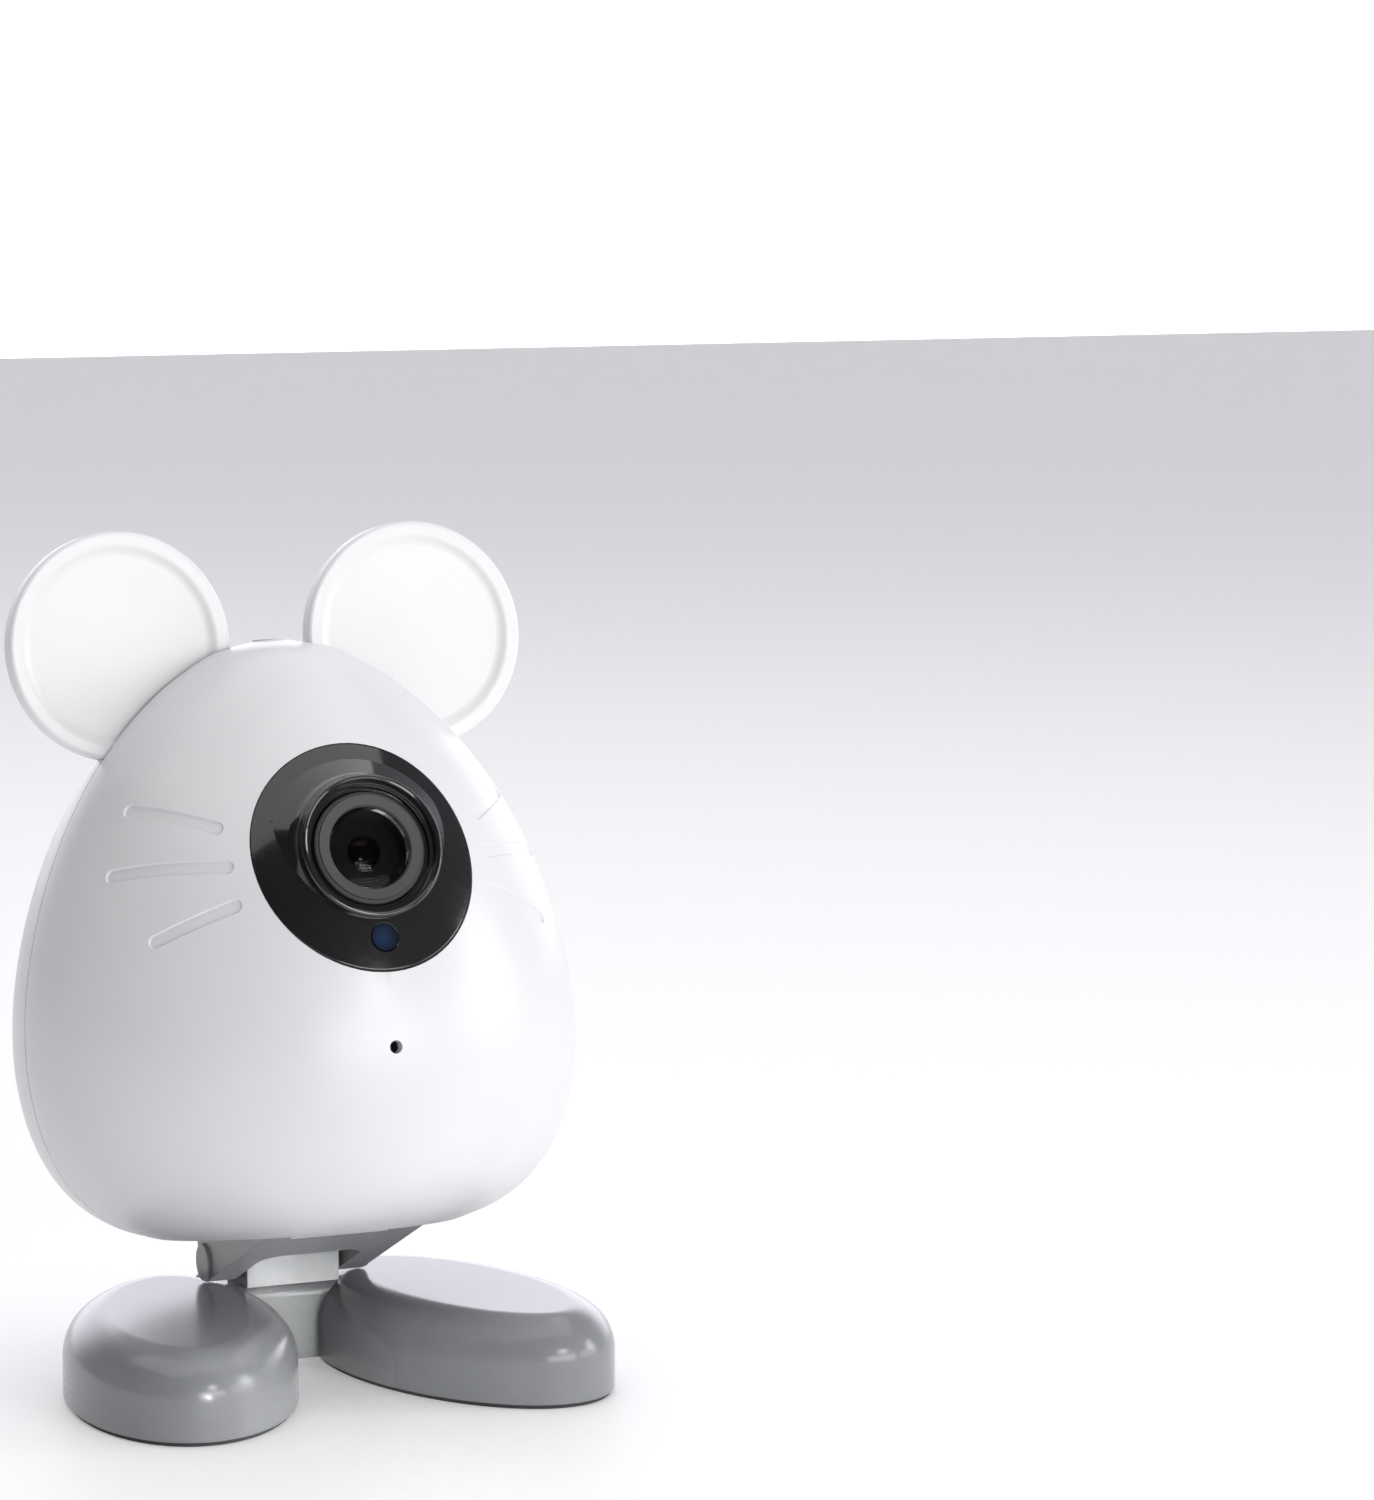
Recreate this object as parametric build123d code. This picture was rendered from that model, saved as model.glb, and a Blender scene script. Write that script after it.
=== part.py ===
from build123d import *
import math
import os

os.makedirs("parts", exist_ok=True)

# ---------------------------------------------------------------- driving sizes (mm)
# The stand rests on z = 0 and the camera looks along -Y.
TILT = 9.14                     # the head leans back this far at rest
EGG_Y, EGG_Z = -0.81, 56.77     # centre of the egg shaped head
HINGE_Y, HINGE_Z = 7.24, 19.35  # tilt axis, parallel to X

# outline of the head: radius and height from the egg centre
EGG = [(26.5, -30.3), (28.5, -29.82), (32.27, -28.58), (35.92, -26.82), (39.28, -24.50),
       (42.21, -21.66), (44.66, -18.40), (46.61, -14.80), (48.13, -10.96), (49.23, -6.96),
       (49.97, -2.85), (50.38, 1.34), (50.46, 5.57), (50.27, 9.86), (49.81, 14.16),
       (49.09, 18.50), (48.13, 22.88), (46.93, 27.33), (45.49, 31.86), (43.76, 36.43),
       (41.71, 41.09), (39.31, 45.78), (36.50, 50.48), (33.23, 55.14), (29.49, 59.66),
       (25.23, 63.98), (20.45, 68.00), (15.14, 71.47), (9.33, 74.10), (3.15, 75.55), (0.0, 75.74)]
WALL = 2.2
SEAM = 0.15                     # half of the gap between the two shells

EAR_X, EAR_Z, EAR_R, EAR_T = 28.1, 75.7, 20.54, 4.1
EAR_LIP, EAR_SOFT, EAR_STEEP = 1.5, 3.0, (34.0, 6.7)   # dish: rounding at the rim, hollow below it, slopes between them

PLATE_Z, PLATE_R, PLATE_T = 35.2, 20.0, 2.1
LENS_Y, LENS_Z, LENS_UP = -44.3, 36.8, 13.5   # centre and upward angle of the lens axis
GLASS_R, RING_R, COLLAR_R = 7.28, 10.03, 12.2
SENSOR_Z, SENSOR_R = 21.1, 2.3
MIC_Z, MIC_R = 2.2, 1.15

WHISKER_W, WHISKER_D, WHISKER_K = 2.6, 0.42, 0.6   # width at the surface, depth, run of the wall per depth
WHISKERS = [((-34.7, 45.9), (-24.15, 41.7)), ((-39.4, 34.7), (-24.0, 34.85)),
            ((-36.0, 22.85), (-23.95, 28.1))]

SHELL_SCREWS = [(26.0, 50.0), (33.0, -8.0)]
SPEAKER_Z, SPEAKER_R = 22.0, 15.0
USB_X, SD_X, RESET_X, IO_Z = -13.0, 13.5, 0.0, -11.6

BRACKET_W, CHANNEL_W, BARREL_R = 15.0, 9.7, 3.6
TIP_Y = -19.5
PIN_R, PIN_FIT = 2.0, 0.05
TONGUE_W = 8.8

FOOT_X, FOOT_Y, FOOT_A, FOOT_B, FOOT_SPLAY = 26.83, -12.88, 36.75, 20.6, 14.02
FOOT_H, FOOT_ROUND, FOOT_GAP = 15.6, 8.0, 0.8
BRIDGE_Y, BRIDGE_H, BRIDGE_BACK, BRIDGE_ROUND = 3.04, 15.0, 19.0, 2.6


# ---------------------------------------------------------------- helpers
def egg(d=0.0, turn=0.0):
    """Solid of the head's outline, moved inward by d. Its turning starts at +X, or turned from there about Z."""
    n = len(EGG)
    pts = []
    for i, (r, z) in enumerate(EGG):
        if i == 0:
            nx, nz = 0.0, -1.0
        elif i == n - 1:
            nx, nz = 0.0, 1.0
        else:
            dr, dz = EGG[i + 1][0] - EGG[i - 1][0], EGG[i + 1][1] - EGG[i - 1][1]
            k = math.hypot(dr, dz)
            nx, nz = dz / k, -dr / k
        pts.append((max(r - d * nx, 0.0), 0, z - d * nz))
    if d > 0:
        pts.pop(1)
    curve = Spline(*pts, tangents=[(1, 0, 0.05), (-1, 0, 0)])
    low, top = pts[0], pts[-1]
    face = make_face([Line((0, 0, low[2]), low), curve, Line(top, (0, 0, low[2]))])
    return Rot(0, 0, turn) * revolve(face, Axis.Z, 360)


def lathe(pts):
    """Turned solid from (radius, height) corners, about Z."""
    return revolve(make_face([Polyline(*[(r, 0, z) for r, z in pts], close=True)]), Axis.Z, 360)


def box(x0, x1, y0, y1, z0, z1):
    return Pos((x0 + x1) / 2, (y0 + y1) / 2, (z0 + z1) / 2) * Box(x1 - x0, y1 - y0, z1 - z0)


def rod_y(x, z, r, y0, y1):
    return Pos(x, (y0 + y1) / 2, z) * Rot(90, 0, 0) * Cylinder(r, y1 - y0)


def rod_x(y, z, r, x0, x1):
    return Pos((x0 + x1) / 2, y, z) * Rot(0, 90, 0) * Cylinder(r, x1 - x0)


def rod_z(x, y, r, z0, z1):
    return Pos(x, y, (z0 + z1) / 2) * Cylinder(r, z1 - z0)


def prism_x(pts, x0, x1):
    """Side outline of (y, z) corners, drawn out along X."""
    f = make_face([Polyline(*[(x0, y, z) for y, z in pts], close=True)])
    return extrude(f, amount=x1 - x0, dir=(1, 0, 0))


def tube_along(pts, r):
    path = Spline(*pts)
    sec = Plane(origin=path @ 0, z_dir=path % 0) * Circle(r)
    return sweep(sec, path=path)


def pierce(shape, tool):
    """Shape less a small tool. The shape is facetted first, so that a hole in a large curved face isn't missed."""
    shape.tessellate(0.1, 0.3)
    return shape - tool


def solids_of(shape):
    return list(shape.solids())


def skin_r(z):
    """Radius of the head at a height, from the outline's nearest corners."""
    i = max(k for k in range(len(EGG) - 2) if EGG[k][1] <= z)
    pts = EGG[max(i - 1, 0):i + 3]
    total = 0.0
    for j, (rj, zj) in enumerate(pts):
        w = 1.0
        for k, (_, zk) in enumerate(pts):
            if k != j:
                w *= (z - zk) / (zj - zk)
        total += w * rj
    return total


def skin_point(x, z):
    return Vector(x, -math.sqrt(skin_r(z) ** 2 - x * x), z)


def skin_normal(p):
    slope = (skin_r(p.Z + 0.3) - skin_r(p.Z - 0.3)) / 0.6
    r = math.hypot(p.X, p.Y)
    return Vector(p.X / r, p.Y / r, -slope).normalized()


def groove(a, b):
    """Shallow groove with sloping walls and round ends, along the head's front from a to b."""
    A, B = skin_point(*a), skin_point(*b)
    mid = (A + B) * 0.5
    n = skin_normal(skin_point(mid.X, mid.Z))
    rise = 0.0
    for _ in range(12):
        q = mid + n * rise
        rise += (skin_r(q.Z) - math.hypot(q.X, q.Y)) / math.hypot(n.X, n.Y)
    t = (B - A).normalized()
    side = t.cross(n).normalized()
    half = (B - A).length / 2
    rho = (half * half + rise * rise) / (2 * rise)
    n = side.cross(t)
    centre = mid - n * (rho - rise)
    up, w, k, d = 0.9, WHISKER_W / 2, WHISKER_K, WHISKER_D
    ea, eb = (A - centre).normalized(), (B - centre).normalized()
    section = make_face([Polyline((up, w + up * k), (-d, w - d * k), (-d, -w + d * k), (up, -w - up * k), close=True)])
    section = Plane(origin=A, x_dir=ea, z_dir=side.cross(ea)) * section
    turn = 2 * math.degrees(math.asin(half / rho))
    run = revolve(section, Axis(centre, side), -turn)
    if (run.center() - (mid + n * rise)).length > half:
        run = revolve(section, Axis(centre, side), turn)
    cap = lathe([(0, -d), (w - d * k, -d), (w + up * k, up), (0, up)])
    return [run, Plane(origin=A, z_dir=ea) * cap, Plane(origin=B, z_dir=eb) * cap]


HEAD = Location((0, EGG_Y, EGG_Z), (-TILT, 0, 0))
LENS = Plane(origin=(0, LENS_Y, LENS_Z), x_dir=(1, 0, 0),
             z_dir=(0, -math.cos(math.radians(LENS_UP)), math.sin(math.radians(LENS_UP)))).location
_c, _s = math.cos(math.radians(TILT)), math.sin(math.radians(TILT))
_dy, _dz = HINGE_Y - EGG_Y, HINGE_Z - EGG_Z
HY, HZ = _dy * _c - _dz * _s, _dy * _s + _dz * _c      # tilt axis in the head's own frame
ZB = EGG[0][1]

parts = {}


def head(name, shape):
    parts[name] = shape.moved(HEAD)


def stand(name, shape):
    parts[name] = shape


# ---------------------------------------------------------------- head shells
FRONT, REAR = 90, -90           # each shell's turning starts on the other shell's side
front_half = box(-80, 80, -80, -SEAM, -60, 110)
rear_half = box(-80, 80, SEAM, 80, -60, 110)

ear_slot = Part() + [rod_y(sx * EAR_X, EAR_Z, EAR_R + 0.12, -0.05, EAR_T + 0.12) for sx in (-1, 1)]

# front shell: seat for the black window, lip into the rear shell, screw posts
inner = egg(WALL, FRONT)
front = (egg(0, FRONT) - inner) & front_half
core = egg(1.2, FRONT)
front += (rod_y(0, MIC_Z, 5.7, -60, -42.0) - rod_y(0, MIC_Z, 4.55, -60, -41.0)) & core
front = pierce(front, rod_y(0, MIC_Z, MIC_R, -60, -40))
for sx in (-1, 1):
    front -= rod_z(sx * 12.4, -4.2, 1.45, ZB - 1, ZB + 5)   # for the tilt bracket's screws
ledge = (egg(1.0, FRONT) - egg(4.3, FRONT)) & rod_y(0, PLATE_Z, 22.6, -80, -5)
front += ledge
front -= rod_y(0, PLATE_Z, 17.4, -80, -5)
front -= (egg(-1.5, FRONT) - egg(PLATE_T + 0.35, FRONT)) & rod_y(0, PLATE_Z, PLATE_R + 0.12, -80, -5)
lip = ((egg(1.25, FRONT) - inner) & box(-80, 80, -2.0, 1.8, -60, 110))
lip -= box(-4, 4, -3, 6, 60, 90)
lip -= ear_slot + [rod_y(sx * EAR_X, EAR_Z, EAR_R + 0.6, -3, 6) for sx in (-1, 1)]
front += lip
for sx in (-1, 1):
    for x, z in SHELL_SCREWS:
        front += rod_y(sx * x, z, 3.6, -60, -SEAM) & core
        front -= rod_y(sx * x, z, 1.3, -11.0, 1)
    front += rod_y(sx * 25.5, 30.0, 3.4, -60, -20.0) & core
    front -= rod_y(sx * 25.5, 30.0, 1.05, -29.0, -19)
for (x0, z0), (x1, z1) in WHISKERS:
    for sx in (-1, 1):
        for tool in groove((sx * x0, z0), (sx * x1, z1)):
            front -= tool
BRACKET_SCREWS = [(12.4, -4.2), (12.4, 5.6)]
head("front_shell", front)

# rear shell: speaker openings, sockets, reset hole, screw wells
rear = (egg(0, REAR) - egg(WALL, REAR)) & rear_half
core = egg(1.2, REAR)
rear -= (egg(1.15, REAR) - egg(4, REAR)) & box(-80, 80, -1, 2.0, -60, 110)
for sx in (-1, 1):
    rear += rod_y(sx * EAR_X, EAR_Z, 19.5, 2.5, EAR_T + 2.2) & core
rear -= ear_slot
for sx in (-1, 1):
    for x, z in SHELL_SCREWS:
        rear += rod_y(sx * x, z, 4.3, SEAM + 0.05, 60) & core
        rear -= rod_y(sx * x, z, 3.1, 6.0, 70)
        rear -= rod_y(sx * x, z, 1.55, -1, 7.0)
rear += (rod_y(0, SPEAKER_Z, 17.3, 33.0, 60) - rod_y(0, SPEAKER_Z, SPEAKER_R + 0.2, 32, 39.6)
         - rod_y(0, SPEAKER_Z, 13.2, 30, 61)) & core
grille = [(0, 0)] + [(4.0 * math.cos(math.radians(60 * i + 30)), 4.0 * math.sin(math.radians(60 * i + 30))) for i in range(6)]
grille += [(8.0 * math.cos(math.radians(30 * i)), 8.0 * math.sin(math.radians(30 * i))) for i in range(12)]
grille += [(12.0 * math.cos(math.radians(20 * i + 10)), 12.0 * math.sin(math.radians(20 * i + 10))) for i in range(18)]
rear -= [rod_y(x, SPEAKER_Z + z, 0.9, 38.0, 60) for x, z in grille]
# openings in the back: power inlet, card slit and the reset button's hole
rear -= Pos(USB_X, 41, IO_Z) * Box(8.4, 26, 3.6)
rear -= Pos(SD_X, 41, IO_Z - 0.55) * Box(12.4, 26, 2.0)
rear -= rod_y(RESET_X, IO_Z, 2.15, 30, 60)
# posts under the main board and the aerial rib
BOARD_Z = -15.0
for sx in (-1, 1):
    for y in (7.5, 30.0):
        rear += rod_z(sx * 23.5, y, 3.0, -45, BOARD_Z) & core
        rear -= rod_z(sx * 23.5, y, 1.05, BOARD_Z - 7, BOARD_Z + 2)
    rear -= rod_z(sx * 12.4, 5.6, 1.45, ZB - 1, ZB + 5)
rear += box(-2, 2, 18.9, 60, 50.5, 57.5) & core
head("rear_shell", rear)

# ears: round plates with a raised rim and a shallow dish, gripped between the shells
for sx, nm in ((-1, "left_ear"), (1, "right_ear")):
    ear = rod_y(0, 0, EAR_R, 0, EAR_T)
    ear = fillet(ear.edges().filter_by(GeomType.CIRCLE), 0.7)
    s1, s2 = [math.radians(a) for a in EAR_STEEP]
    lip = [(18.4 - EAR_LIP * math.sin(a), 0, -EAR_LIP * (1 - math.cos(a))) for a in (0, s1 / 2, s1)]
    soft = [(lip[2][0] - EAR_SOFT * (math.sin(s1) - math.sin(a)), 0, lip[2][2] - EAR_SOFT * (math.cos(a) - math.cos(s1)))
            for a in (s1, (s1 + s2) / 2, s2)]
    big = soft[2][0] / math.sin(s2)
    floor = [(big * math.sin(a), 0, soft[2][2] - big * (math.cos(a) - math.cos(s2))) for a in (s2, s2 / 2, math.asin(0.8 / big))]
    mid = floor[2][2]
    bowl = make_face([ThreePointArc(*lip), ThreePointArc(*soft), ThreePointArc(*floor), Line(floor[2], (0, 0, mid)),
                      Line((0, 0, mid), (0, 0, 0.6)), Line((0, 0, 0.6), (18.9, 0, 0.6)), Line((18.9, 0, 0.6), (18.9, 0, 0.0)),
                      Line((18.9, 0, 0.0), lip[0])])
    ear -= Plane(origin=(0, 0, 0), x_dir=(1, 0, 0), z_dir=(0, -1, 0)) * revolve(bowl, Axis.Z, 360)
    head(nm, Pos(sx * EAR_X, 0, EAR_Z) * ear)

# ---------------------------------------------------------------- black window and lens
# window follows the head's curve; a raised collar surrounds the lens
plate = (egg(0.1) - egg(PLATE_T)) & rod_y(0, PLATE_Z, PLATE_R, -80, -5)
rim = [e for e in plate.edges() if e.center().Y < -1 and abs(e.length - 2 * math.pi * PLATE_R * 1.1) < 40]
rim = sorted(rim, key=lambda e: -(e @ 0).Y)[-1]
plate = fillet([rim], 0.4)
WELL = [(10.4, -1.3), (10.85, -1.25), (10.95, -0.5), (11.05, -0.4), (11.5, -0.35), (11.6, -0.25), (11.75, 0.75),
        (11.95, 1.08), (12.25, 1.2)]
# its outer wall is steep at the rim and runs out hollow into the window
WALL_R, WALL_Z, FLARE_R = 12.85, 0.26, 4.0
def flare(deg):
    t = math.radians(deg)
    return (WALL_R + FLARE_R * (1 - math.cos(t)), 0, WALL_Z - FLARE_R * math.sin(t))
collar = make_face([Polyline(*[(r, 0, z) for r, z in [(9.0, -5.2), (9.0, -3.6), (10.4, -3.6)] + WELL]),
                    ThreePointArc((12.25, 0, 1.2), (12.25 + 0.6 * math.sqrt(0.5), 0, 0.6 + 0.6 * math.sqrt(0.5)), (WALL_R, 0, 0.6)),
                    Line((WALL_R, 0, 0.6), flare(0)), ThreePointArc(flare(0), flare(24), flare(48)),
                    Polyline(flare(48), (17.3, 0, -5.2), (9.0, 0, -5.2))])
collar = LENS * revolve(collar, Axis.Z, 360)
collar &= rod_y(0, PLATE_Z, PLATE_R - 0.3, -80, -5)
collar -= egg(PLATE_T)
plate += collar
plate -= LENS * Pos(0, 0, -10) * Cylinder(RING_R + 0.27, 18)
plate -= LENS * lathe([(0, -1.3)] + WELL + [(12.25, 6), (0, 6)])
plate -= rod_y(0, SENSOR_Z, SENSOR_R + 0.06, -80, -5)
_p = skin_point(0, SENSOR_Z)
plate -= Plane(origin=_p, x_dir=(1, 0, 0), z_dir=skin_normal(_p)) * lathe([(0, -0.5), (SENSOR_R, -0.5), (SENSOR_R + 0.55, 0.05),
                                                                            (SENSOR_R + 0.55, 1.0), (0, 1.0)])
head("faceplate", plate)

tape = (egg(PLATE_T + 0.02) - egg(PLATE_T + 0.33)) & (rod_y(0, PLATE_Z, PLATE_R - 0.3, -80, -5)
                                                       - rod_y(0, PLATE_Z, 17.7, -80, -5))
head("window_tape", tape)

ring = lathe([(GLASS_R + 0.06, -2.5), (RING_R - 0.1, -2.5), (RING_R, -2.2), (RING_R, -0.55), (RING_R - 0.35, -0.3),
              (RING_R - 0.55, -0.3), (RING_R - 0.7, 0.0), (GLASS_R + 0.3, -0.12), (GLASS_R + 0.06, -0.5)])
head("lens_ring", LENS * ring)
barrel = lathe([(0, -2.55), (9.7, -2.55), (9.7, -9.0), (6.0, -9.6), (6.0, -18.0), (0, -18.0)])
barrel -= lathe([(0, -2.0), (GLASS_R + 0.04, -2.0), (GLASS_R + 0.04, -2.75), (6.3, -4.1), (3.0, -4.1), (3.0, -19), (0, -19)])
head("lens_barrel", LENS * barrel)
_rho = (GLASS_R ** 2 + 1.1 ** 2) / 2.2          # the front glass is a shallow dome
dome = make_face([Line((0, 0, -4.0), (6.2, 0, -4.0)), Line((6.2, 0, -4.0), (GLASS_R, 0, -2.7)),
                  Line((GLASS_R, 0, -2.7), (GLASS_R, 0, -0.9)),
                  ThreePointArc((GLASS_R, 0, -0.9), (GLASS_R / 2, 0, 0.2 - _rho + math.sqrt(_rho ** 2 - GLASS_R ** 2 / 4)), (0, 0, 0.2)),
                  Line((0, 0, 0.2), (0, 0, -4.0))])
head("front_lens", LENS * revolve(dome, Axis.Z, 360))
# smaller elements in the barrel's bore
_r2, _h2 = 2.94, 0.75
_q = (_r2 ** 2 + _h2 ** 2) / (2 * _h2)
second = make_face([Line((0, 0, -7.0), (_r2, 0, -7.0)), Line((_r2, 0, -7.0), (_r2, 0, -5.3)),
                    ThreePointArc((_r2, 0, -5.3), (_r2 / 2, 0, -5.3 + _h2 - _q + math.sqrt(_q ** 2 - _r2 ** 2 / 4)), (0, 0, -5.3 + _h2)),
                    Line((0, 0, -5.3 + _h2), (0, 0, -7.0))])
second = revolve(second, Axis.Z, 360)
head("inner_lenses", Compound(children=[LENS * second, LENS * (Pos(0, 0, -14.0) * Cylinder(2.94, 1.6))]))
holder = Pos(0, 0, -17.0) * Box(17, 17, 10) - Pos(0, 0, -14) * Cylinder(6.02, 9)
holder -= Pos(0, 0, -20.2) * Box(12, 12, 3.6)
head("lens_holder", LENS * holder)
head("image_sensor", LENS * Pos(0, 0, -21.35) * Box(9.0, 8.0, 1.3))
head("camera_board", LENS * (Pos(0, 0, -22.6) * Cylinder(15.5, 1.2)))

# cradle: cup behind the window that carries the boards
cradle = (Pos(0, 0, -12) * Cylinder(19.0, 26)) - (Pos(0, 0, -10.6) * Cylinder(17.2, 25.2)) - Cylinder(12.5, 80)
cradle += (Pos(0, 0, -17.4) * Cylinder(17.6, 9.2)) - (Pos(0, 0, -17.4) * Cylinder(15.6, 9.3))
cradle = LENS * cradle
for sx in (-1, 1):
    lug = box(sx * 18.0 - 0.01 if sx > 0 else -29.2, 29.2 if sx > 0 else -18.0, -19.9, -17.6, 26.0, 34.0)
    lug -= rod_y(sx * 25.5, 30.0, 1.35, -30, -10)
    cradle += lug - (LENS * Pos(0, 0, -12) * Cylinder(17.3, 40))
cradle &= egg(4.4)
cradle = cradle - rod_y(25.5, 30.0, 3.45, -60, -19.92) - rod_y(-25.5, 30.0, 3.45, -60, -19.92)
head("camera_cradle", cradle.solids().sort_by(SortBy.VOLUME)[-1])


def screw_y(x, z, y_head, d_head, h_head, r, tip, cross=True):
    """Pan head screw along Y: the head on the +Y side, the tip towards -Y."""
    s = rod_y(x, z, d_head / 2, y_head, y_head + h_head) + rod_y(x, z, r, tip, y_head)
    if cross:
        for a in (0, 90):
            s -= Pos(x, y_head + h_head, z) * Rot(0, a, 0) * Box(d_head * 0.55, h_head, d_head * 0.13)
    return s


head("cradle_screws", Compound(children=[screw_y(sx * 25.5, 30.0, -17.55, 4.2, 1.5, 1.0, -28.0) for sx in (-1, 1)]))

# infrared ring behind the window
ir_board = Pos(0, 0, -11.1) * Cylinder(16.6, 1.2) + Pos(0, -16.6, -11.1) * Box(7.0, 3.6, 1.2) - Pos(0, 0, -11.1) * Cylinder(10.3, 3)
ir_board &= Pos(0, 0, -11.1) * Cylinder(17.0, 3)
head("ir_board", LENS * ir_board)
leds = []
for a in (25, 65, 115, 155, 205, 335):
    x, y = 13.6 * math.cos(math.radians(a)), 13.6 * math.sin(math.radians(a))
    led = lathe([(0, -10.48), (1.9, -10.48), (1.9, -9.6), (1.5, -9.6), (1.5, -8.4), (1.2, -7.5), (0.6, -7.05), (0, -7.0)])
    leds.append(LENS * Pos(x, y, 0) * led)
head("ir_leds", Compound(children=leds))
# light sensor: blue window in the plate and the diode behind it
window = (egg(0.16) - egg(3.4)) & rod_y(0, SENSOR_Z, SENSOR_R, -80, -5)
head("light_sensor_window", window)
_sy = 13.9
diode = LENS * Pos(0, -_sy, -8.6) * (Cylinder(1.9, 3.7))
diode -= rod_y(0, SENSOR_Z, SENSOR_R + 0.1, -80, LENS_Y - 2.0)
head("light_sensor", diode.solids().sort_by(SortBy.VOLUME)[-1])

# ---------------------------------------------------------------- sound, boards and sockets
boot = (rod_y(0, MIC_Z, 4.45, -60, -42.4) & egg(WALL + 0.03)) - rod_y(0, MIC_Z, MIC_R, -60, -40) - rod_y(0, MIC_Z, 3.02, -45.2, -40)
head("mic_boot", boot)
head("microphone", rod_y(0, MIC_Z, 3.0, -45.15, -42.6))

board = box(-27, 27, 3.0, 37.0, BOARD_Z + 0.02, BOARD_Z + 1.6)
for sx in (-1, 1):
    for y in (7.5, 30.0):
        board -= rod_z(sx * 23.5, y, 1.3, BOARD_Z - 1, BOARD_Z + 3)
for sx in (-1, 1):
    board -= rod_y(sx * 33.0, -8.0, 4.4, -1, 60)
board &= egg(WALL + 0.4)
head("main_board", board)
BT = BOARD_Z + 1.6
bs = []
for sx in (-1, 1):
    for y in (7.5, 30.0):
        s = rod_z(sx * 23.5, y, 2.2, BT + 0.02, BT + 1.5) + rod_z(sx * 23.5, y, 1.0, BT - 6.5, BT + 0.1)
        for a in (0, 90):
            s -= Pos(sx * 23.5, y, BT + 1.5) * Rot(0, 0, a) * Box(2.4, 0.6, 1.4)
        bs.append(s)
head("board_screws", Compound(children=bs))
shield = fillet(box(-9, 9, 8.0, 24.0, BT + 0.02, BT + 2.6).edges().filter_by(Axis.Z), 1.0)
head("processor_shield", shield)

usb = box(USB_X - 3.75, USB_X + 3.75, 34.8, 43.4, BT + 0.02, BT + 3.0)
usb -= box(USB_X - 3.3, USB_X + 3.3, 37.0, 44.0, BT + 0.45, BT + 2.55)
usb += box(USB_X - 2.4, USB_X + 2.4, 36.8, 42.6, BT + 1.25, BT + 1.8)
head("usb_socket", usb)
sd = box(SD_X - 7.0, SD_X + 7.0, 25.0, 39.7, BT + 0.02, BT + 1.9)
sd -= box(SD_X - 5.7, SD_X + 5.7, 27.0, 41.5, BT + 0.5, BT + 1.5)
sd -= rod_z(23.5, 30.0, 2.4, BT - 1, BT + 4)
head("microsd_socket", sd)
switch = box(RESET_X - 2.6, RESET_X + 2.6, 33.6, 36.9, BT + 0.02, BT + 3.9)
head("reset_switch", switch)
# button: cap in the rear hole, flange behind the wall, 0.8 mm above the switch at rest
BTN_Y0 = 38.0
button = rod_y(RESET_X, IO_Z, 1.95, BTN_Y0, 47.3) + rod_y(RESET_X, IO_Z, 1.2, BTN_Y0 - 0.2, BTN_Y0 + 0.5)
button += rod_y(RESET_X, IO_Z, 2.9, 42.9, 44.0)
button = button & egg(0.35)
head("reset_button", button)

frame = lathe([(0, 0), (10.5, 0), (10.5, 2.6), (SPEAKER_R - 0.4, 4.3), (SPEAKER_R, 4.3), (SPEAKER_R, 5.4), (12.4, 5.4),
               (12.4, 4.8), (9.6, 3.0), (0, 3.0)])
SPK = Location((0, 34.0, SPEAKER_Z), (-90, 0, 0))
head("speaker_frame", SPK * frame)
cone = lathe([(0, 3.3), (4.2, 3.1), (9.4, 3.05), (12.3, 4.9), (12.3, 5.25), (10.8, 5.3), (9.2, 3.6), (4.2, 3.6), (0, 4.3)])
head("speaker_cone", SPK * cone)
head("speaker_magnet", SPK * (Pos(0, 0, -1.75) * Cylinder(8.0, 3.4)))
head("speaker_gasket", SPK * (Pos(0, 0, 5.5) * (Cylinder(14.9, 0.16) - Cylinder(13.3, 1))))

head("wifi_antenna", box(-12, 12, 18.0, 18.85, 50.0, 58.0))
ffc = [(-22.3, 25.4), (-9.0, 6.0), (10.0, BT + 5.4), (14.0, BT + 3.1), (14.0, BT + 2.65), (13.4, BT + 2.65), (13.4, BT + 2.9),
       (9.8, BT + 4.95), (-9.4, 5.6), (-22.7, 25.1)]
head("camera_ffc", prism_x(ffc, -6, 6))
head("antenna_lead", tube_along([(0.0, 17.3, 51.0), (-4, 12.0, 38.0), (-14.0, 10.0, 10.0), (-16.0, 14.0, BT + 0.7)], 0.6))
head("speaker_lead", tube_along([(9.4, 32.9, SPEAKER_Z - 4), (14.0, 28.2, SPEAKER_Z - 14), (16.0, 22.0, 0.0), (18.0, 18.0, BT + 0.9)], 0.8))
head("mic_lead", tube_along([(0.0, -41.8, MIC_Z), (6.0, -30.0, -6.0), (14.0, -8.0, -9.0), (16.0, 8.0, BT + 0.8)], 0.7))
head("shell_screws", Compound(children=[screw_y(sx * x, z, 6.05, 5.6, 2.0, 1.25, -9.5) for sx in (-1, 1) for x, z in SHELL_SCREWS]))

# ---------------------------------------------------------------- tilt bracket and hinge
dist = math.hypot(HY - TIP_Y, HZ - ZB)
ang = math.atan2(HZ - ZB, HY - TIP_Y) - math.asin(BARREL_R / dist)
run = math.sqrt(dist ** 2 - BARREL_R ** 2)
TANG = (TIP_Y + run * math.cos(ang), ZB + run * math.sin(ang))
slope = math.tan(ang)
MP_T = 0.8                      # light plate between the head and the bracket


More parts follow.
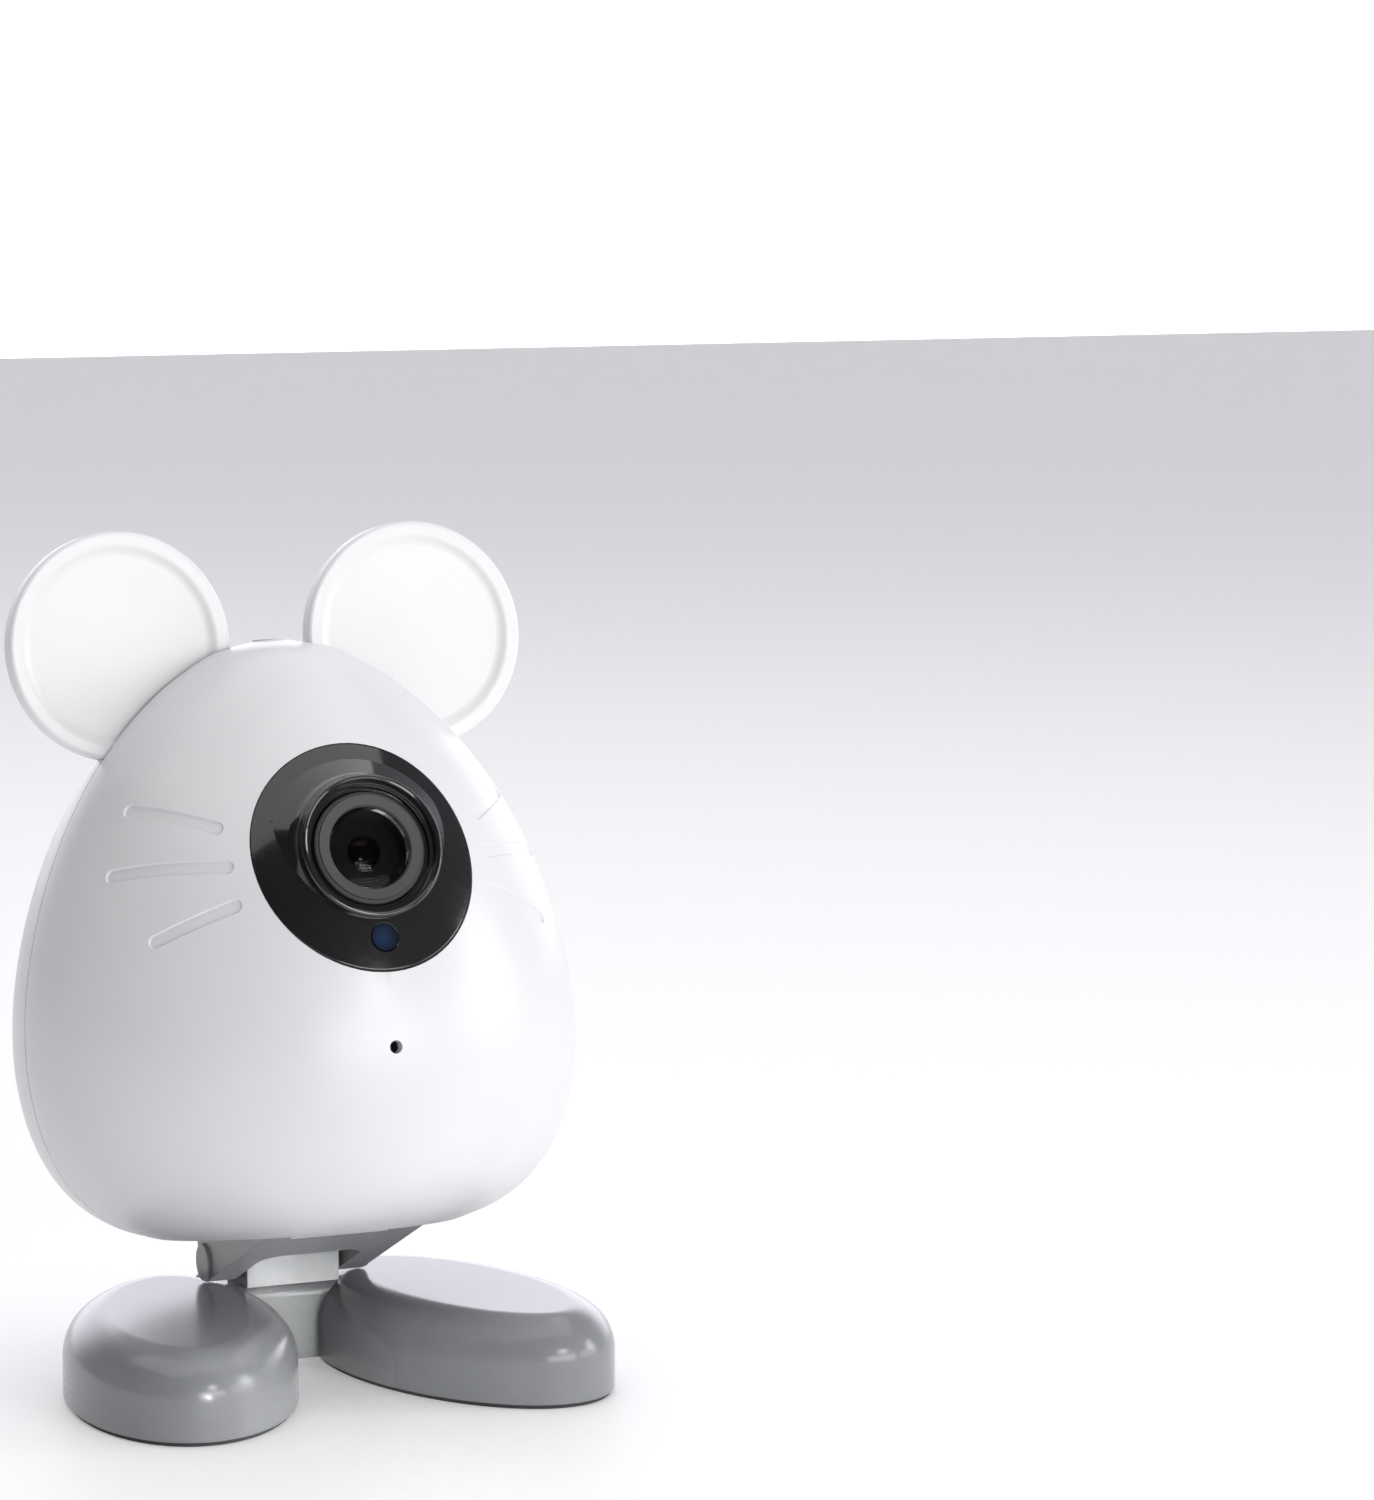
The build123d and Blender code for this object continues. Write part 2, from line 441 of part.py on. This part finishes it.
def under(y, up=0.0):
    return ZB + slope * (y - TIP_Y) + up / math.cos(ang)


ZT = ZB - 0.02
bracket = prism_x([(TIP_Y, ZT), (TANG[0], TANG[1]), (HY, HZ), (HY + BARREL_R, HZ), (HY + BARREL_R, ZT)], -BRACKET_W, BRACKET_W)
bracket += rod_x(HY, HZ, BARREL_R, -BRACKET_W, BRACKET_W)
# space between the cheeks, leaving a thin sloping front wall
y1 = -18.0
bracket -= prism_x([(y1, max(under(y1, 1.7), -60)), (HY - 4.5, under(HY - 4.5, 1.7)), (HY - 4.5, -50), (HY + 10, -50), (HY + 10, ZB + 1), (y1, ZB + 1)],
                   -CHANNEL_W, CHANNEL_W)
arch = RectangleRounded(2 * CHANNEL_W, 22.0, 4.2)
arch = extrude(Plane.XY * Pos(0, -3.4 + 11.0) * arch, amount=40, both=True)
arch &= prism_x([(-30, under(-30, -8)), (HY - 2.6, under(HY - 2.6, -8)), (HY - 2.6, under(HY - 2.6, 2.9)), (-30, under(-30, 2.9))], -20, 20)
arch -= rod_x(HY, HZ, BARREL_R + 0.001, -30, 30)
bracket -= arch
bracket -= box(-9.4, 9.4, -30, 30, ZB - MP_T - 0.05, ZB + 2)
# screw holes for the body screws, pin bores
for sx in (-1, 1):
    for x, y in BRACKET_SCREWS:
        bracket -= rod_z(sx * x, y, 1.2, ZB - (3.6 if y < 0 else 6.2), ZB + 2)
bracket -= rod_x(HY, HZ, PIN_R + 0.02, -30, 30)
bracket -= rod_x(HY, HZ, 2.62, 11.5, 30)
head("tilt_bracket", bracket)
head("mount_plate", box(-9.3, 9.3, -16.4, 16.2, ZB - MP_T, ZB - 0.02))
bscr = []
for sx in (-1, 1):
    for x, y in BRACKET_SCREWS:
        s = rod_z(sx * x, y, 2.4, ZB + WALL + 0.03, ZB + WALL + 1.8) + rod_z(sx * x, y, 1.15, ZB - (3.3 if y < 0 else 5.8), ZB + WALL + 0.1)
        for a in (0, 90):
            s -= Pos(sx * x, y, ZB + WALL + 1.8) * Rot(0, 0, a) * Box(2.6, 0.6, 1.6)
        bscr.append(s)
head("bracket_screws", Compound(children=bscr))
pin = rod_x(HY, HZ, PIN_R, -BRACKET_W - 0.1, 14.8) + rod_x(HY, HZ, 3.4, -BRACKET_W - 0.65, -BRACKET_W - 0.02)
pin = fillet(pin.edges().filter_by(GeomType.CIRCLE).sort_by(Axis.X)[0], 0.25)
head("hinge_pin", pin)
nut = rod_x(HY, HZ, 3.4, BRACKET_W + 0.02, BRACKET_W + 0.65) + rod_x(HY, HZ, 2.6, 11.6, BRACKET_W + 0.1)
nut -= rod_x(HY, HZ, PIN_R + 0.02, 11, BRACKET_W - 0.1)
head("hinge_nut", nut)
head("friction_washers", Compound(children=[rod_x(HY, HZ, 3.1, min(a, b), max(a, b)) - rod_x(HY, HZ, PIN_R + 0.04, -20, 20)
                                             for a, b in ((-9.68, -8.92), (8.92, 9.68))]))

tongue = box(-TONGUE_W, TONGUE_W, HINGE_Y - 5.2, HINGE_Y + 5.6, BRIDGE_H + 0.03, HINGE_Z + 0.4)
tongue += box(-TONGUE_W, TONGUE_W, HINGE_Y - 5.2, HINGE_Y, HINGE_Z, HINGE_Z + 2.25)
tongue += rod_x(HINGE_Y, HINGE_Z, 3.85, -TONGUE_W, TONGUE_W)
tongue -= box(-30, 30, -30, 40, 0, BRIDGE_H + 0.03)
tongue -= rod_x(HINGE_Y, HINGE_Z, PIN_R + PIN_FIT, -30, 30)
TSCR = [(-5.2, HINGE_Y + 4.1), (5.2, HINGE_Y + 4.1)]
for x, y in TSCR:
    tongue -= rod_z(x, y, 1.05, 10, BRIDGE_H + 3.6)
stand("hinge_tongue", tongue)


# ---------------------------------------------------------------- stand
def foot(a, b, z0, z1, rnd, sx):
    f = extrude(Pos(0, 0, z0) * Ellipse(b, a), amount=z1 - z0)
    if rnd:
        f = fillet(f.edges().group_by(Axis.Z)[-1], rnd)
    return Pos(sx * FOOT_X, FOOT_Y, 0) * Rot(0, 0, sx * FOOT_SPLAY) * f


base = Part()
for sx in (-1, 1):
    base += foot(FOOT_A, FOOT_B, FOOT_GAP, FOOT_H, FOOT_ROUND, sx)
bridge = box(-13, 13, BRIDGE_Y, BRIDGE_BACK, FOOT_GAP, BRIDGE_H)
bridge = fillet(bridge.edges().filter_by(Axis.X).group_by(Axis.Z)[-1], BRIDGE_ROUND)
base += bridge
# hollow from below
BW = 2.2
for sx in (-1, 1):
    base -= foot(FOOT_A - BW, FOOT_B - BW, 0, FOOT_H - BW, FOOT_ROUND - BW, sx)
base -= box(-12, 12, BRIDGE_Y + BW, BRIDGE_BACK - BW, 0, BRIDGE_H - BW)
# step for the bottom plate
PLATE_H = 1.5
step = Part()
for sx in (-1, 1):
    step += foot(FOOT_A - 1.0, FOOT_B - 1.0, FOOT_GAP - 0.1, FOOT_GAP + PLATE_H + 0.1, 0, sx)
step += box(-9, 9, BRIDGE_Y + 1.0, BRIDGE_BACK - 1.0, FOOT_GAP - 0.1, FOOT_GAP + PLATE_H + 0.1)
base -= step
FOOT_POSTS = [(24.0, -30.0), (30.0, 6.0), (36.0, -36.0)]
for sx in (-1, 1):
    for x, y in FOOT_POSTS:
        post = rod_z(sx * x, y, 3.2, FOOT_GAP + PLATE_H + 0.12, FOOT_H - 1.5) - rod_z(sx * x, y, 1.25, -1, FOOT_H - 4.0)
        base += post
for x, y in TSCR:
    base -= rod_z(x, y, 1.3, 8, BRIDGE_H + 2)
stand("feet_base", base)
bottom = Part()
for sx in (-1, 1):
    bottom += foot(FOOT_A - 1.15, FOOT_B - 1.15, FOOT_GAP, FOOT_GAP + PLATE_H, 0, sx)
bottom += box(-9, 9, BRIDGE_Y + 1.15, BRIDGE_BACK - 1.15, FOOT_GAP, FOOT_GAP + PLATE_H)
for sx in (-1, 1):
    for x, y in FOOT_POSTS:
        bottom -= Pos(sx * x, y, 0) * lathe([(0, FOOT_GAP - 0.1), (2.8, FOOT_GAP - 0.1), (2.8, FOOT_GAP + 0.05), (1.5, FOOT_GAP + 1.3), (1.5, 4), (0, 4)])
stand("base_plate", bottom)
scr = []
for sx in (-1, 1):
    for x, y in FOOT_POSTS:
        s = lathe([(0, FOOT_GAP + 0.02), (2.6, FOOT_GAP + 0.02), (1.2, FOOT_GAP + 1.35), (1.2, FOOT_H - 4.6), (0, FOOT_H - 4.4)])
        for a in (0, 90):
            s -= Pos(0, 0, FOOT_GAP) * Rot(0, 0, a) * Box(2.6, 0.6, 1.4)
        scr.append(Pos(sx * x, y, 0) * s)
stand("base_screws", Compound(children=scr))
pads = [foot(FOOT_A - 0.7, FOOT_B - 0.7, 0, FOOT_GAP - 0.02, 0, sx) for sx in (-1, 1)]
stand("foot_pads", Compound(children=pads))
tscr = []
for x, y in TSCR:
    s = rod_z(x, y, 2.1, BRIDGE_H - BW - 1.6, BRIDGE_H - BW - 0.02) + rod_z(x, y, 1.0, BRIDGE_H - BW - 0.1, BRIDGE_H + 3.2)
    for a in (0, 90):
        s -= Pos(x, y, BRIDGE_H - BW - 1.6) * Rot(0, 0, a) * Box(2.3, 0.55, 1.4)
    tscr.append(s)
stand("tongue_screws", Compound(children=tscr))

# ---------------------------------------------------------------- write
for name, shape in parts.items():
    sol = solids_of(shape)
    out = sol[0] if len(sol) == 1 else Compound(children=sol)
    out.label = name
    export_step(out, f"parts/{name}.step")
    bb = out.bounding_box()
    print(f"{name:22s} solids {len(sol)} vol {sum(q.volume for q in sol):10.1f}  x {bb.min.X:7.2f} {bb.max.X:7.2f}  y {bb.min.Y:7.2f} {bb.max.Y:7.2f}  z {bb.min.Z:7.2f} {bb.max.Z:7.2f}")
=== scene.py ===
import math

import bpy
from mathutils import Matrix, Vector


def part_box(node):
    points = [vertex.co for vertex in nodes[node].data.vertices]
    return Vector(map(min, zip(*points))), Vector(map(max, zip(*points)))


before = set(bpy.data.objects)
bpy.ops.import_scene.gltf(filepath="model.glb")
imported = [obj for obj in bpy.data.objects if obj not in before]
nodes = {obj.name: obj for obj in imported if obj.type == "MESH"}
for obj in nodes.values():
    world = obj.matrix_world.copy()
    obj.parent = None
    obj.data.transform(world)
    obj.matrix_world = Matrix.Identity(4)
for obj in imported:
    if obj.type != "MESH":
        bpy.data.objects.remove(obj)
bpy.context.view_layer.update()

scene = bpy.context.scene


# ---------------------------------------------------------------- materials
def new_mat(name):
    m = bpy.data.materials.new(name)
    m.use_nodes = True
    nt = m.node_tree
    bsdf = nt.nodes["Principled BSDF"]
    coord = nt.nodes.new("ShaderNodeTexCoord")
    return m, nt, bsdf, coord


def noise(nt, coord, scale, detail=3.0, rough=0.55, stretch=None):
    n = nt.nodes.new("ShaderNodeTexNoise")
    n.inputs["Scale"].default_value = scale
    n.inputs["Detail"].default_value = detail
    n.inputs["Roughness"].default_value = rough
    if stretch is None:
        nt.links.new(coord.outputs["Object"], n.inputs["Vector"])
    else:
        mp = nt.nodes.new("ShaderNodeMapping")
        mp.inputs["Scale"].default_value = stretch
        nt.links.new(coord.outputs["Object"], mp.inputs["Vector"])
        nt.links.new(mp.outputs["Vector"], n.inputs["Vector"])
    return n.outputs["Fac"]


def spread(nt, fac, lo, hi, a=0.3, b=0.7):
    r = nt.nodes.new("ShaderNodeMapRange")
    r.inputs["From Min"].default_value = a
    r.inputs["From Max"].default_value = b
    r.inputs["To Min"].default_value = lo
    r.inputs["To Max"].default_value = hi
    nt.links.new(fac, r.inputs["Value"])
    return r.outputs["Result"]


def two_tone(nt, fac, ca, cb, a=0.3, b=0.7):
    r = nt.nodes.new("ShaderNodeValToRGB")
    r.color_ramp.elements[0].position = a
    r.color_ramp.elements[1].position = b
    r.color_ramp.elements[0].color = (*ca, 1)
    r.color_ramp.elements[1].color = (*cb, 1)
    nt.links.new(fac, r.inputs["Fac"])
    return r.outputs["Color"]


def bump(nt, bsdf, height, strength, distance):
    b = nt.nodes.new("ShaderNodeBump")
    b.inputs["Strength"].default_value = strength
    b.inputs["Distance"].default_value = distance
    nt.links.new(height, b.inputs["Height"])
    nt.links.new(b.outputs["Normal"], bsdf.inputs["Normal"])
    return b


def moulded(name, ca, cb, rough, grain, grain_size=0.0005, patch=0.03, ior=1.5, coat=0.0, coat_rough=0.1, spec=0.5):
    """Moulded plastic: faint flow patches in the colour, fine spark-eroded grain in gloss and bump."""
    m, nt, bsdf, coord = new_mat(name)
    broad = noise(nt, coord, 1.0 / patch, 2.0)
    fine = noise(nt, coord, 1.0 / grain_size, 2.0, 0.6)
    nt.links.new(two_tone(nt, broad, ca, cb), bsdf.inputs["Base Color"])
    mix = nt.nodes.new("ShaderNodeMath")
    mix.operation = "MULTIPLY_ADD"
    mix.inputs[1].default_value = 0.35
    nt.links.new(broad, mix.inputs[0])
    nt.links.new(fine, mix.inputs[2])
    nt.links.new(spread(nt, mix.outputs[0], rough[0], rough[1], 0.4, 0.95), bsdf.inputs["Roughness"])
    bump(nt, bsdf, fine, grain, 0.00004)
    bsdf.inputs["IOR"].default_value = ior
    bsdf.inputs["Specular IOR Level"].default_value = spec
    bsdf.inputs["Coat Weight"].default_value = coat
    bsdf.inputs["Coat Roughness"].default_value = coat_rough
    return m


def metal(name, ca, cb, rough, stretch, scale=2500.0):
    m, nt, bsdf, coord = new_mat(name)
    lines = noise(nt, coord, scale, 3.0, 0.6, stretch)
    nt.links.new(two_tone(nt, lines, ca, cb), bsdf.inputs["Base Color"])
    nt.links.new(spread(nt, lines, rough[0], rough[1]), bsdf.inputs["Roughness"])
    bump(nt, bsdf, lines, 0.12, 0.00002)
    bsdf.inputs["Metallic"].default_value = 1.0
    return m


white = moulded("shell_white", (0.76, 0.755, 0.775), (0.79, 0.785, 0.80), (0.27, 0.36), 0.05, 0.0004)
ear_white = moulded("ear_white", (0.80, 0.80, 0.81), (0.83, 0.83, 0.835), (0.30, 0.40), 0.05, 0.0004)
window = moulded("window_black", (0.0085, 0.008, 0.009), (0.011, 0.0105, 0.0115), (0.10, 0.17), 0.015, 0.0012, 0.02, 1.5, 0.5, 0.04)
ring = moulded("ring_dark_grey", (0.050, 0.050, 0.053), (0.060, 0.060, 0.063), (0.42, 0.55), 0.22, 0.00022)
barrel = moulded("barrel_black", (0.006, 0.006, 0.006), (0.009, 0.009, 0.010), (0.50, 0.65), 0.2, 0.0003)
feet = moulded("stand_grey", (0.235, 0.243, 0.252), (0.258, 0.266, 0.275), (0.17, 0.24), 0.05, 0.0004, 0.02)
bracket = moulded("bracket_grey", (0.320, 0.323, 0.333), (0.345, 0.349, 0.360), (0.30, 0.40), 0.10, 0.0004, 0.015)
tongue = moulded("tongue_light_grey", (0.40, 0.41, 0.42), (0.435, 0.445, 0.455), (0.32, 0.42), 0.10, 0.0004, 0.015)
dark = moulded("inner_black", (0.018, 0.018, 0.019), (0.026, 0.026, 0.028), (0.45, 0.6), 0.2, 0.0004)
rubber = moulded("soft_rubber", (0.035, 0.036, 0.038), (0.050, 0.051, 0.054), (0.62, 0.8), 0.35, 0.0003, spec=0.3)
pad = moulded("pad_rubber", (0.050, 0.051, 0.054), (0.070, 0.071, 0.074), (0.66, 0.82), 0.4, 0.0003, spec=0.3)
tape = moulded("foam_tape", (0.018, 0.018, 0.018), (0.030, 0.030, 0.030), (0.75, 0.9), 0.5, 0.0005, spec=0.2)
button = moulded("button_grey", (0.30, 0.31, 0.32), (0.34, 0.35, 0.36), (0.35, 0.45), 0.15, 0.0003)
epoxy = moulded("clear_epoxy", (0.50, 0.52, 0.54), (0.58, 0.60, 0.62), (0.06, 0.12), 0.03, 0.0006)
ferrite = moulded("ferrite", (0.045, 0.045, 0.050), (0.070, 0.070, 0.075), (0.5, 0.7), 0.4, 0.0004)
paper = moulded("speaker_paper", (0.016, 0.016, 0.018), (0.030, 0.030, 0.033), (0.7, 0.9), 0.6, 0.0005)
ffc = moulded("flat_cable", (0.62, 0.62, 0.60), (0.68, 0.68, 0.66), (0.3, 0.4), 0.1, 0.0006)
wire = moulded("wire_pvc", (0.020, 0.020, 0.024), (0.030, 0.030, 0.036), (0.4, 0.5), 0.1, 0.0005)
board = moulded("solder_mask", (0.012, 0.070, 0.030), (0.018, 0.095, 0.042), (0.22, 0.36), 0.2, 0.0011, 0.006)
steel = metal("zinc_steel", (0.46, 0.46, 0.47), (0.60, 0.60, 0.61), (0.26, 0.42), (1.0, 1.0, 0.2))
tin = metal("tin_plate", (0.60, 0.60, 0.62), (0.72, 0.72, 0.73), (0.22, 0.36), (0.2, 1.0, 1.0))


def coated_glass(name, tint_a, tint_b, film, ior):
    """Dark coated lens glass: clear body with a thin film that colours its reflections."""
    m, nt, bsdf, coord = new_mat(name)
    cloud = noise(nt, coord, 260.0, 2.0)
    nt.links.new(two_tone(nt, cloud, tint_a, tint_b), bsdf.inputs["Base Color"])
    nt.links.new(spread(nt, cloud, 0.0, 0.03), bsdf.inputs["Roughness"])
    bsdf.inputs["IOR"].default_value = ior
    bsdf.inputs["Transmission Weight"].default_value = 1.0
    bsdf.inputs["Thin Film Thickness"].default_value = film
    bsdf.inputs["Thin Film IOR"].default_value = 1.38
    return m


glass = coated_glass("lens_glass", (0.40, 0.40, 0.43), (0.46, 0.46, 0.48), 0.0, 1.13)
inner_glass = coated_glass("inner_glass", (0.30, 0.08, 0.06), (0.36, 0.11, 0.08), 300.0, 1.35)

# blue sensor window: deep blue middle as its own colour, darkened to nearly black towards its rim as painted shade
sensor, nt, bsdf, coord = new_mat("sensor_blue")
lo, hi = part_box("light_sensor_window")
mid = [(lo[k] + hi[k]) / 2 for k in range(3)]
off = nt.nodes.new("ShaderNodeVectorMath")
off.operation = "SUBTRACT"
off.inputs[1].default_value = (mid[0] - 0.0004, lo[1], mid[2] + 0.0003)
flat = nt.nodes.new("ShaderNodeVectorMath")
flat.operation = "MULTIPLY"
flat.inputs[1].default_value = (1.0, 0.0, 1.0)
span = nt.nodes.new("ShaderNodeVectorMath")
span.operation = "LENGTH"
nt.links.new(coord.outputs["Object"], off.inputs[0])
nt.links.new(off.outputs["Vector"], flat.inputs[0])
nt.links.new(flat.outputs["Vector"], span.inputs[0])
cloud = noise(nt, coord, 900.0, 2.0)
wob = nt.nodes.new("ShaderNodeMath")
wob.operation = "MULTIPLY_ADD"
wob.inputs[1].default_value = 0.0009
nt.links.new(cloud, wob.inputs[0])
nt.links.new(span.outputs["Value"], wob.inputs[2])
# ramp from the window's own deep blue to a painted-shade near-black at the rim
nt.links.new(two_tone(nt, spread(nt, wob.outputs[0], 0.0, 1.0, 0.0006, 0.0031), (0.009, 0.027, 0.074), (0.002, 0.005, 0.014), 0.0, 1.0),
             bsdf.inputs["Base Color"])
nt.links.new(spread(nt, cloud, 0.05, 0.12), bsdf.inputs["Roughness"])
bsdf.inputs["Coat Weight"].default_value = 0.4

finish = {
    "front_shell": white, "rear_shell": white, "left_ear": ear_white, "right_ear": ear_white,
    "faceplate": window, "window_tape": tape, "lens_ring": ring, "lens_barrel": barrel, "front_lens": glass,
    "inner_lenses": inner_glass, "lens_holder": dark, "image_sensor": tin, "camera_board": board, "camera_cradle": dark,
    "cradle_screws": steel, "ir_board": board, "ir_leds": epoxy, "light_sensor_window": sensor, "light_sensor": epoxy,
    "mic_boot": rubber, "microphone": tin, "main_board": board, "board_screws": steel, "processor_shield": tin,
    "usb_socket": tin, "microsd_socket": tin, "reset_switch": dark, "reset_button": button, "speaker_frame": dark,
    "speaker_cone": paper, "speaker_magnet": ferrite, "speaker_gasket": tape, "wifi_antenna": board, "camera_ffc": ffc,
    "antenna_lead": wire, "speaker_lead": wire, "mic_lead": wire, "shell_screws": steel, "tilt_bracket": bracket,
    "mount_plate": tongue, "bracket_screws": steel, "hinge_pin": bracket, "hinge_nut": bracket, "friction_washers": rubber,
    "hinge_tongue": tongue, "tongue_screws": steel, "feet_base": feet, "base_plate": steel, "base_screws": steel,
    "foot_pads": pad,
}
for name, obj in nodes.items():
    obj.data.materials.clear()
    obj.data.materials.append(finish[name])

# ---------------------------------------------------------------- floor
bpy.ops.mesh.primitive_plane_add(size=1.0, location=(0, 0.6, 0))
floor = bpy.context.object
floor.name = "studio_floor"
floor.scale = (8.0, 6.0, 1.0)
fm, nt, bsdf, coord = new_mat("pale_floor")
cloud = noise(nt, coord, 2.0, 2.0)
nt.links.new(two_tone(nt, cloud, (0.80, 0.80, 0.805), (0.82, 0.82, 0.825)), bsdf.inputs["Base Color"])
bsdf.inputs["Roughness"].default_value = 0.55
bsdf.inputs["Specular IOR Level"].default_value = 0.25
bsdf.inputs["Emission Color"].default_value = (1.0, 1.0, 1.0, 1)      # a lit table, as product pictures use
bsdf.inputs["Emission Strength"].default_value = 0.26
floor.data.materials.append(fm)

# ---------------------------------------------------------------- light
# a dim room with a bright sweep low behind the object, which its glossy feet mirror
world = bpy.data.worlds.new("studio_world")
scene.world = world
world.use_nodes = True
wn = world.node_tree
bg = wn.nodes["Background"]
tc = wn.nodes.new("ShaderNodeTexCoord")
sep = wn.nodes.new("ShaderNodeSeparateXYZ")
wn.links.new(tc.outputs["Generated"], sep.inputs["Vector"])


def wramp(src, p0, v0, p1, v1):
    m = wn.nodes.new("ShaderNodeMapRange")
    m.interpolation_type = "SMOOTHSTEP"
    for key, v in (("From Min", p0), ("From Max", p1), ("To Min", v0), ("To Max", v1)):
        m.inputs[key].default_value = v
    wn.links.new(src, m.inputs["Value"])
    return m.outputs["Result"]


def wmath(op, a, b):
    m = wn.nodes.new("ShaderNodeMath")
    m.operation = op
    for k, v in enumerate((a, b)):
        if isinstance(v, (int, float)):
            m.inputs[k].default_value = v
        else:
            wn.links.new(v, m.inputs[k])
    return m.outputs[0]


behind = wramp(sep.outputs["Y"], 0.15, 0.0, 0.75, 1.0)
low = wramp(sep.outputs["Z"], 0.22, 1.0, 0.50, 0.16)
side = wramp(sep.outputs["X"], -0.45, 0.12, 0.05, 1.0)
room = wramp(sep.outputs["X"], -0.6, 0.06, 0.8, 0.20)
glow = wmath("ADD", room, wmath("MULTIPLY", wmath("MULTIPLY", wmath("MULTIPLY", behind, low), side), 2.2))
tint = wn.nodes.new("ShaderNodeMix")
tint.data_type = "RGBA"
tint.blend_type = "MULTIPLY"
tint.inputs["Factor"].default_value = 1.0
tint.inputs["B"].default_value = (0.965, 0.96, 1.05, 1)
wn.links.new(glow, tint.inputs["A"])
wn.links.new(tint.outputs["Result"], bg.inputs["Color"])
bg.inputs["Strength"].default_value = 1.0

AIM = Vector((0.0, -0.02, 0.075))


def softbox(name, az, el, dist, w, h, glow, color=(1, 1, 1)):
    """Area light of a given brightness at an azimuth (from straight in front, towards +X) and height angle."""
    a, b = math.radians(az), math.radians(el)
    d = Vector((math.sin(a) * math.cos(b), -math.cos(a) * math.cos(b), math.sin(b)))
    L = bpy.data.lights.new(name, "AREA")
    L.shape = "RECTANGLE"
    L.size, L.size_y = w, h
    L.energy = glow * math.pi * w * h
    L.color = color
    o = bpy.data.objects.new(name, L)
    o.location = AIM + d * dist
    o.rotation_euler = (-d).to_track_quat("-Z", "Y").to_euler()
    scene.collection.objects.link(o)
    return o


softbox("front_lamp", 14, 19.3, 1.3, 0.26, 0.13, 19.0)
softbox("right_lamp", 70, 16, 1.3, 0.28, 0.36, 6.5)
softbox("low_fill", 12, 5.5, 1.5, 1.2, 0.34, 6.0)
softbox("right_fill", 62, 6.5, 1.5, 1.0, 0.40, 3.0)
# narrow beam from low in front, kept to the stand
kick = bpy.data.lights.new("stand_kick", "AREA")
kick.shape = "RECTANGLE"
kick.size, kick.size_y = 0.025, 0.012
kick.spread = math.radians(5.5)
kick.energy = 0.0042
ko = bpy.data.objects.new("stand_kick", kick)
ko.location = (0.04, -0.62, 0.03)
ko.rotation_euler = (Vector((-0.010, 0.0, 0.004)) - ko.location).to_track_quat("-Z", "Y").to_euler()
scene.collection.objects.link(ko)
over = bpy.data.lights.new("overhead", "AREA")
over.shape = "RECTANGLE"
over.size, over.size_y = 1.65, 1.6
over.energy = 1.25 * math.pi * 1.65 * 1.6
oo = bpy.data.objects.new("overhead", over)
oo.location = (-0.14, 0.21, 1.09)
scene.collection.objects.link(oo)

# ---------------------------------------------------------------- camera
cam = bpy.data.cameras.new("camera")
cam.sensor_fit = "VERTICAL"
cam.sensor_height = 36.0
cam.lens = 131.04
cam.clip_end = 50.0
co = bpy.data.objects.new("camera", cam)
r, u, b = Vector((0.91134, -0.41167, 0.0)), Vector((0.04955, 0.10970, 0.99274)), Vector((-0.40868, -0.90471, 0.12037))
co.matrix_world = Matrix(((r.x, u.x, b.x, -0.33461), (r.y, u.y, b.y, -0.91204), (r.z, u.z, b.z, 0.23017), (0, 0, 0, 1)))
scene.collection.objects.link(co)
scene.camera = co

scene.view_settings.view_transform = "Standard"
scene.view_settings.look = "None"
